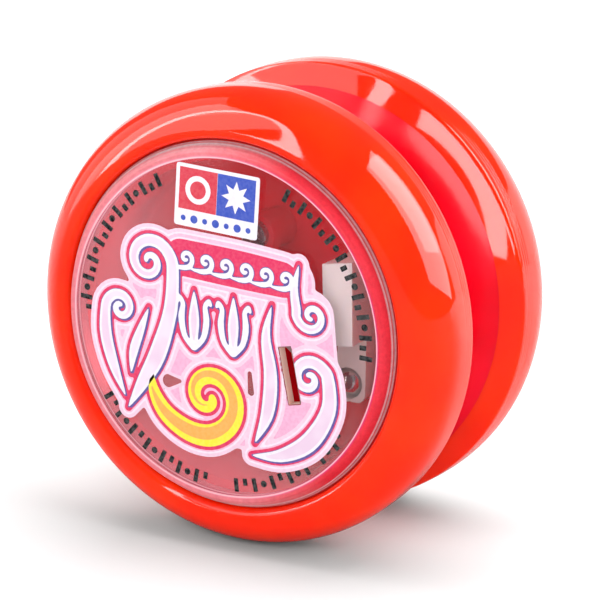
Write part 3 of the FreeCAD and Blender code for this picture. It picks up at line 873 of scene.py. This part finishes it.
def emblem():
    """The die-cut emblem: bands of pink round white scrolls, a crimson panel and a comet."""
    film = FILM_FLOOR + EMBLEM_FILM_THICKNESS
    white = softened(stroke_field(flourish_lines()))
    white_shadow = softened(stroke_field(flourish_lines(), SCROLL_SHADOW_SHIFT))
    waves = softened(stroke_field(wave_lines()), 1)
    comet = softened(stroke_field(comet_lines()))
    comet_core = stroke_field([line - np.array(COMET_CORE_SHIFT) for line in comet_lines()])
    panel = stroke_field([smooth_line([(-5.8, 8.1, 2.3), (2.0, 7.7, 2.35), (8.2, 7.3, 2.2)])])
    art = np.minimum.reduce([white, comet, panel, waves])
    body = softened(np.minimum(art - BODY_REACH, emblem_body()), 4)
    body = np.maximum(body, -stroke_field([np.array(hole) for hole in EMBLEM_HOLES]))

    slot = hole_field(slot_corners(SLOT_MARGIN))
    within = body + EDGE_WIDTH
    outer_band = np.maximum(PALE_REACH - art, art - BODY_REACH)
    bands = [
        (EDGE_PINK_INK, np.maximum(body, np.minimum(outer_band, -EDGE_WIDTH - body))),
        (PALE_PINK_INK, np.maximum.reduce([within, ROSE_REACH - art, art - PALE_REACH])),
        (ROSE_INK, np.maximum.reduce([within, LILAC_REACH - art, art - ROSE_REACH])),
        (LILAC_INK, np.maximum(within, art - LILAC_REACH)),
        (PINK_INK, np.maximum(within, BODY_REACH - art)),
    ]
    for i, (paint, field) in enumerate(bands):
        name = f"emblem_band_{i}"
        loops = contour_loops(np.maximum(field, -slot), 0)
        stands_for = "emblem" if i == 0 else None
        both_sides(name, plate_mesh(name, loops, FILM_FLOOR, film), paint, stands_for)

    def layer(name, field, paint, step):
        """One printed layer on the film, kept inside the label and clear of the slot."""
        kept = np.maximum.reduce([field, body, -slot])
        low = film + INK_LIFT + EMBLEM_INK_STEP * step
        mesh = plate_mesh(name, contour_loops(kept, 0), low, low + EMBLEM_INK_THICKNESS)
        both_sides(name, mesh, paint)

    ring = np.minimum(white, comet)
    shadow = np.minimum.reduce([white_shadow, white - 0.07, waves - 0.1])
    layer("emblem_outline", np.minimum(ring - OUTLINE_REACH, panel), CRIMSON_INK, 0)
    layer("emblem_shadow", shadow, SHADOW_INK, 1)
    layer("emblem_scrolls", np.minimum(white, waves), WHITE_INK, 2)
    layer("emblem_comet", comet, YELLOW_INK, 2)
    layer("emblem_scroll_cores", white + SCROLL_CORE_INSET, LILAC_INK, 3)
    layer("emblem_comet_core", comet_core, ORANGE_INK, 3)


def slot_corners(margin):
    """The corners of the cap's slot, grown by a margin."""
    lean = math.radians(SLOT_LEAN)
    half_width = SLOT_SIZE[0] / 2 + margin
    half_length = SLOT_SIZE[1] / 2 + margin
    corners = []
    for side, end in ((-1, -1), (1, -1), (1, 1), (-1, 1)):
        x = side * half_width
        z = end * half_length
        corners.append((
            SLOT_CENTRE[0] + x * math.cos(lean) - z * math.sin(lean),
            SLOT_CENTRE[1] + x * math.sin(lean) + z * math.cos(lean),
        ))
    return corners


def box_loop(x0, x1, z0, z1, corner=0.0):
    """A rectangle's outline, with rounded corners if asked."""
    points = [(x0, z0), (x1, z0), (x1, z1), (x0, z1)]
    return rounded(points, corner) if corner else points


def disc_loop(x, z, radius, steps=28):
    """A circle's outline."""
    turns = np.linspace(0, 2 * math.pi, steps, endpoint=False)
    return [(x + radius * math.cos(a), z + radius * math.sin(a)) for a in turns]


def star_loop(x, z, outer, inner, points=8):
    """A plain star's outline."""
    loop = []
    for i in range(2 * points):
        angle = math.pi / 2 + math.pi * i / points
        reach = inner if i % 2 else outer
        loop.append((x + reach * math.cos(angle), z + reach * math.sin(angle)))
    return loop


BADGE_LEAN = 3
CARD_HALF_SIZE = (5.75, 3.85)
CARD_CORNER = 0.4
FIELD_HALF_WIDTH = 5.25
FIELD_HALF_GAP = 0.02
FIELD_LOW = -1.75
FIELD_HIGH = 3.4
MARK_CENTRE = (2.63, 0.83)
RING_RADII = (1.75, 1.1)
STAR_RADII = (2.0, 1.05)
DOT_COUNT = 7
DOT_PITCH = 1.5
DOT_LEVEL = -2.85
DOT_RADII = (0.34, 0.5)


def badge():
    """The small badge: a white card with a red and a blue field and a row of dots."""
    low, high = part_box("clutch_side_badge")
    middle = (low + high) / 2
    lean = Matrix.Rotation(math.radians(BADGE_LEAN), 4, "Y")
    place = Matrix.Translation(Vector((middle.x, 0, middle.z)))
    film = FILM_FLOOR + BADGE_FILM_THICKNESS

    def part(name, loops, paint, step, stands_for=None):
        """One flat piece of the badge, drawn about its centre; step 0 is the card itself."""
        bottom = FILM_FLOOR if step == 0 else film + INK_LIFT + BADGE_INK_STEP * (step - 1)
        top = film if step == 0 else bottom + BADGE_INK_THICKNESS
        mesh = plate_mesh(name, loops, bottom, top)
        mesh.transform(place @ lean)
        both_sides(name, mesh, paint, stands_for)

    wide, tall = CARD_HALF_SIZE
    part("badge_card", [box_loop(-wide, wide, -tall, tall, CARD_CORNER)], WHITE_INK, 0, "badge")
    red_field = box_loop(-FIELD_HALF_WIDTH, -FIELD_HALF_GAP, FIELD_LOW, FIELD_HIGH)
    part("badge_red_field", [red_field], RED_INK, 1)
    blue_field = box_loop(FIELD_HALF_GAP, FIELD_HALF_WIDTH, FIELD_LOW, FIELD_HIGH)
    part("badge_blue_field", [blue_field], BLUE_INK, 1)
    x, z = MARK_CENTRE
    part("badge_ring", [disc_loop(-x, z, radius) for radius in RING_RADII], WHITE_INK, 2)
    part("badge_star", [star_loop(x, z, *STAR_RADII)], WHITE_INK, 2)
    first = -DOT_PITCH * (DOT_COUNT - 1) / 2
    dots = [disc_loop(first + DOT_PITCH * i, DOT_LEVEL, DOT_RADII[i % 2]) for i in range(DOT_COUNT)]
    part("badge_dots", dots, BLUE_INK, 1)


# The arcs of ticks round the cap: name, first and last angle in degrees, anticlockwise from +X
TICK_ARCS = [
    ("ticks_upper_left", 118, 180),
    ("ticks_upper_right", -2, 64),
    ("ticks_lower_right", -84, -34),
    ("ticks_lower_left", 214, 263),
]
TICK_RADIUS = 19.5
TICK_HEIGHT = 1.7
TICK_STEP = 3.6
TICK_HALF_WIDTH = 0.3
TICK_CORNER = 0.1
SHORT_TICK_HEIGHT = 0.9
TICK_DOT_RADIUS = 0.42


def tick_loops(first, last):
    """A scale along an arc: a bar, a short bar, a bar and a dot, over and over."""
    loops = []
    count = int((last - first) / TICK_STEP) + 1
    for i in range(count):
        angle = math.radians(first + (last - first) * i / (count - 1))
        kind = i % 4
        if kind == 3:
            mark = disc_loop(TICK_RADIUS, 0, TICK_DOT_RADIUS, 18)
        else:
            inner = TICK_RADIUS - TICK_HEIGHT / 2
            height = SHORT_TICK_HEIGHT if kind == 1 else TICK_HEIGHT
            mark = box_loop(inner, inner + height, -TICK_HALF_WIDTH, TICK_HALF_WIDTH, TICK_CORNER)
        loops.append([
            (r * math.cos(angle) - s * math.sin(angle), r * math.sin(angle) + s * math.cos(angle))
            for r, s in mark
        ])
    return loops


def ticks():
    """The printed black scale round each cap's face."""
    for name, first, last in TICK_ARCS:
        mesh = plate_mesh(name, tick_loops(first, last), SCALE_FLOOR, SCALE_FLOOR + SCALE_THICKNESS)
        both_sides(name, mesh, BLACK_INK)


# ---------------------------------------------------------------- the yo-yo


def halves():
    """Both rims and caps, as fine turned meshes in place of the CAD ones."""
    for name, (side, body) in SIDES.items():
        rim = lathe_mesh(f"{name}_rim_ring", rim_outline(), side)
        finish_mesh(f"{name}_rim_ring", rim, RIM_PLASTIC, body, (f"{name}_rim",))
        cap = lathe_mesh(f"{name}_clear_cap", cap_outline(), side)
        if side == CLUTCH_SIDE:
            cap = cut_slot(cap)
        finish_mesh(f"{name}_clear_cap", cap, CLEAR_PLASTIC, body, (f"{name}_cap",))
        if side == CLUTCH_SIDE:
            frost_slot(cap)


# The CAD nodes that stay visible, and what each is made of
CARRIED = {
    "clutch_side_shell": CRIMSON_PLASTIC,
    "plain_side_shell": CRIMSON_PLASTIC,
    "clutch_bridge": CRIMSON_PLASTIC,
    "bridge_screws": STEEL,
    "arm_pivot_pins": STEEL,
    "clutch_arm_a": ARM_PLASTIC,
    "clutch_arm_b": ARM_PLASTIC,
    "weight_ball_a": BALL_STEEL,
    "weight_ball_b": BALL_STEEL,
    "axle": STEEL,
    "axle_lock_nut": STEEL,
    "drum_washer": SPOOL_PLASTIC,
    "string_spool": SPOOL_PLASTIC,
    "hub_washer": SPOOL_PLASTIC,
    "captive_nut": BRASS,
}


def carried_nodes():
    """Gives the CAD nodes that stay visible their materials."""
    for name, paint in CARRIED.items():
        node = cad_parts[name]
        node.data.materials.clear()
        node.data.materials.append(paint)


def coil_mesh(name, low, high):
    """An upright open coil of round wire that just fills a box."""
    wire = SPRING_WIRE_RADIUS * MM
    radius = (high.x - low.x) / 2 - wire
    centre = (low + high) / 2
    up = Vector((0, 0, 1))
    steps = SPRING_TURNS * SPRING_STEPS
    points = []
    for i in range(steps + 1):
        turn = 2 * math.pi * i / SPRING_STEPS
        outward = Vector((math.cos(turn), math.sin(turn), 0))
        lift = low.z + wire + (high.z - low.z - 2 * wire) * i / steps
        middle = Vector((centre.x, centre.y, lift)) + outward * radius
        for j in range(WIRE_SIDES):
            a = 2 * math.pi * j / WIRE_SIDES
            points.append(middle + (outward * math.cos(a) + up * math.sin(a)) * wire)
    foot = list(range(WIRE_SIDES))
    head = [steps * WIRE_SIDES + j for j in reversed(foot)]
    faces = [foot, head]
    for i in range(steps):
        here = i * WIRE_SIDES
        there = here + WIRE_SIDES
        for j in range(WIRE_SIDES):
            k = (j + 1) % WIRE_SIDES
            faces.append((here + j, there + j, there + k, here + k))
    mesh = bpy.data.meshes.new(name)
    mesh.from_pydata(points, [], faces)
    return mesh


def clutch_springs():
    """Both springs: each foot stands on the half's post; the second coil is the first turned half
    round.
    """
    low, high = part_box("clutch_spring_a")
    half_turn = Matrix.Rotation(math.pi, 4, "Y")
    for letter, turn in (("a", Matrix.Identity(4)), ("b", half_turn)):
        name = f"clutch_coil_{letter}"
        mesh = coil_mesh(name, low, high)
        mesh.transform(turn)
        stands_for = (f"clutch_spring_{letter}",)
        coil = finish_mesh(name, mesh, SPRING_STEEL, None, stands_for, sharp=50)
        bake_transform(coil)


# ---------------------------------------------------------------- studio


CAMERA_AZIMUTH = 29.28
CAMERA_ELEVATION = 15.49
CAMERA_ROLL = 0.66
CAMERA_DISTANCE = 0.3845
CAMERA_LENS = 184.9
CAMERA_SHIFT = (0.0101, -0.0066)
LAMP_DISTANCE = 1.5
RING_STEPS = 72
FLOOR_HALF_SIZE = 0.9
WHITE_ROOM = 1.1
DIM_ROOM = 0.16
CUP_LAMP_DEPTH = 15.9


def facing(azimuth, elevation):
    """The direction from the object towards a place round it; azimuth 0 is -Y and 90 is +X."""
    a = math.radians(azimuth)
    e = math.radians(elevation)
    return Vector((math.sin(a) * math.cos(e), -math.cos(a) * math.cos(e), math.sin(e)))


def aimed(direction, roll=0.0):
    """The turn of a camera or lamp that stands in a direction and looks back at the object."""
    turn = (-direction).to_track_quat("-Z", "Y").to_matrix().to_4x4()
    return turn @ Matrix.Rotation(math.radians(roll), 4, "Z")


def camera():
    """The main camera, to the right of the clutch side and a little above it."""
    data = bpy.data.cameras.new("camera")
    data.lens = CAMERA_LENS
    data.clip_start = 0.01
    data.shift_x, data.shift_y = CAMERA_SHIFT
    holder = bpy.data.objects.new("camera", data)
    bpy.context.scene.collection.objects.link(holder)
    direction = facing(CAMERA_AZIMUTH, CAMERA_ELEVATION)
    place = Matrix.Translation(direction * CAMERA_DISTANCE)
    holder.matrix_world = place @ aimed(direction, CAMERA_ROLL)
    bpy.context.scene.camera = holder


def softbox(name, azimuth, elevation, across, upward, radiance, roll=0.0):
    """A rectangular lamp facing the object that spans these angles and has this brightness."""
    width = 2 * LAMP_DISTANCE * math.tan(math.radians(across / 2))
    height = 2 * LAMP_DISTANCE * math.tan(math.radians(upward / 2))
    data = bpy.data.lights.new(name, "AREA")
    data.shape = "RECTANGLE"
    data.size = width
    data.size_y = height
    data.energy = radiance * math.pi * width * height
    lamp = bpy.data.objects.new(name, data)
    bpy.context.scene.collection.objects.link(lamp)
    direction = facing(azimuth, elevation)
    lamp.matrix_world = Matrix.Translation(direction * LAMP_DISTANCE) @ aimed(direction, roll)
    lamp.visible_camera = False
    return lamp


def ring_softbox(name, azimuth, elevation, across, upward, band, radiance):
    """A glowing oval ring that only glossy surfaces show; its band is this many degrees wide."""
    direction = facing(azimuth, elevation)
    rows = []
    for i in range(RING_STEPS):
        turn = 2 * math.pi * i / RING_STEPS
        for inset in (0, band):
            half_width = LAMP_DISTANCE * math.tan(math.radians(across / 2 - inset))
            half_height = LAMP_DISTANCE * math.tan(math.radians(upward / 2 - inset))
            rows.append((half_width * math.cos(turn), half_height * math.sin(turn), 0))
    count = 2 * RING_STEPS
    faces = [(i, (i + 2) % count, (i + 3) % count, i + 1) for i in range(0, count, 2)]
    mesh = bpy.data.meshes.new(name)
    mesh.from_pydata(rows, [], faces)
    mesh.transform(Matrix.Translation(direction * LAMP_DISTANCE) @ aimed(direction))
    glow = material(
        name, Base_Color=(0, 0, 0, 1), Emission_Color=(1, 1, 1, 1), Emission_Strength=radiance
    )
    mesh.materials.append(glow[0])
    ring = bpy.data.objects.new(name, mesh)
    bpy.context.scene.collection.objects.link(ring)
    ring.visible_camera = False
    ring.visible_diffuse = False
    ring.visible_transmission = False
    ring.visible_shadow = False


def cup_lamp(name, side, x, z, across, radiance):
    """A flat round lamp just under a cap that lights its cup, placed as that side's viewer sees it."""
    data = bpy.data.lights.new(name, "AREA")
    data.shape = "DISK"
    data.size = across * MM
    data.energy = radiance * (math.pi * across * MM / 2) ** 2
    lamp = bpy.data.objects.new(name, data)
    bpy.context.scene.collection.objects.link(lamp)
    spot = Vector((-side * x, side * CUP_LAMP_DEPTH, z)) * MM
    lamp.matrix_world = Matrix.Translation(spot) @ aimed(Vector((0, side, 0)))
    lamp.visible_camera = False
    lamp.visible_transmission = False
    lamp.visible_glossy = False


def shine_only_on(lamp, names):
    """Keeps a lamp's light to the named pieces."""
    chosen = bpy.data.collections.new(f"{lamp.name}_receivers")
    for name in names:
        chosen.objects.link(bpy.data.objects[name])
    lamp.light_linking.receiver_collection = chosen


def floor():
    """A plain white table under the rims; in reflections it is painted darker, shading from dim to
    half bright across the table.
    """
    half = FLOOR_HALF_SIZE
    low = cad_low.z
    mesh = bpy.data.meshes.new("floor")
    corners = [(-half, -half, low), (half, -half, low), (half, half, low), (-half, half, low)]
    mesh.from_pydata(corners, [], [(0, 1, 2, 3)])
    made, tree, shader = material("floor_paper", Roughness=0.8, Specular_IOR_Level=0.1)
    white = ramp(tree, noise(tree, 30, 2), 0.3, 0.7, (0.78, 0.78, 0.78), (0.8, 0.8, 0.8))
    path = tree.nodes.new("ShaderNodeLightPath")
    # Painted shade: glossy rays see the paper darker, from 0.2 at one side of the table to 0.75 at the
    # other
    painted_reflection_shade = along(tree, (-0.5, 0.85, 0), -20, 60, 0.2, 0.75)
    paper = mixed(tree, "MIX", path.outputs["Is Glossy Ray"], white, painted_reflection_shade)
    tree.links.new(paper, shader.inputs["Base Color"])
    mesh.materials.append(made)
    piece = bpy.data.objects.new("floor", mesh)
    bpy.context.scene.collection.objects.link(piece)


def room():
    """A surround that looks white and gives only a dim, even light."""
    world = bpy.data.worlds.new("room")
    world.use_nodes = True
    tree = world.node_tree
    background = tree.nodes["Background"]
    background.inputs["Color"].default_value = (1, 1, 1, 1)
    path = tree.nodes.new("ShaderNodeLightPath")
    strength = tree.nodes.new("ShaderNodeMath")
    strength.operation = "MULTIPLY_ADD"
    strength.inputs[1].default_value = WHITE_ROOM - DIM_ROOM
    strength.inputs[2].default_value = DIM_ROOM
    tree.links.new(path.outputs["Is Camera Ray"], strength.inputs[0])
    tree.links.new(strength.outputs["Value"], background.inputs["Strength"])
    bpy.context.scene.world = world


def studio():
    """Floor, surround, lamps and the plain view transform."""
    floor()
    room()

    # Each softbox: name, azimuth, elevation, degrees across and upward, brightness, roll
    front_strip = softbox("front_strip", 16, 17, 8, 42, 9.0, 41)
    shine_only_on(front_strip, ["plain_side_rim_ring", "plain_side_shell", "clutch_side_shell"])
    seen_only = [
        front_strip,
        softbox("right_softbox", 118, 33, 50, 54, 4.6, -19),
        softbox("right_softbox_core", 125, 39, 34, 40, 4.0, -19),
        softbox("left_softbox", -82, 26, 50, 64, 0.9),
        softbox("left_softbox_core", -52, 26, 48, 70, 2.3),
        softbox("backdrop_glow", 188, 6, 90, 26, 1.4),
    ]
    for lamp in seen_only:
        lamp.visible_diffuse = False
    ring_softbox("ring_softbox", -36, 28, 42, 76, band=5, radiance=10.0)
    for name, (side, _) in SIDES.items():
        cup_lamp(f"{name}_cup_lamp", side, x=0, z=0, across=38, radiance=0.2)
        cup_lamp(f"{name}_cup_side_lamp", side, x=-10.5, z=-4, across=18, radiance=6.0)

    lighting_only = [
        softbox("overhead_light", 181, 68, 72, 66, 3.0),
        softbox("camera_side_light", 8, 20, 64, 44, 2.5),
        softbox("right_fill_light", 100, 26, 56, 40, 2.6),
        softbox("left_fill_light", -75, 30, 50, 40, 1.7),
    ]
    for lamp in lighting_only:
        lamp.visible_glossy = False
        lamp.visible_transmission = False
    bpy.context.scene.view_settings.view_transform = "Standard"


camera()
halves()
carried_nodes()
clutch_springs()
emblem()
badge()
ticks()
studio()
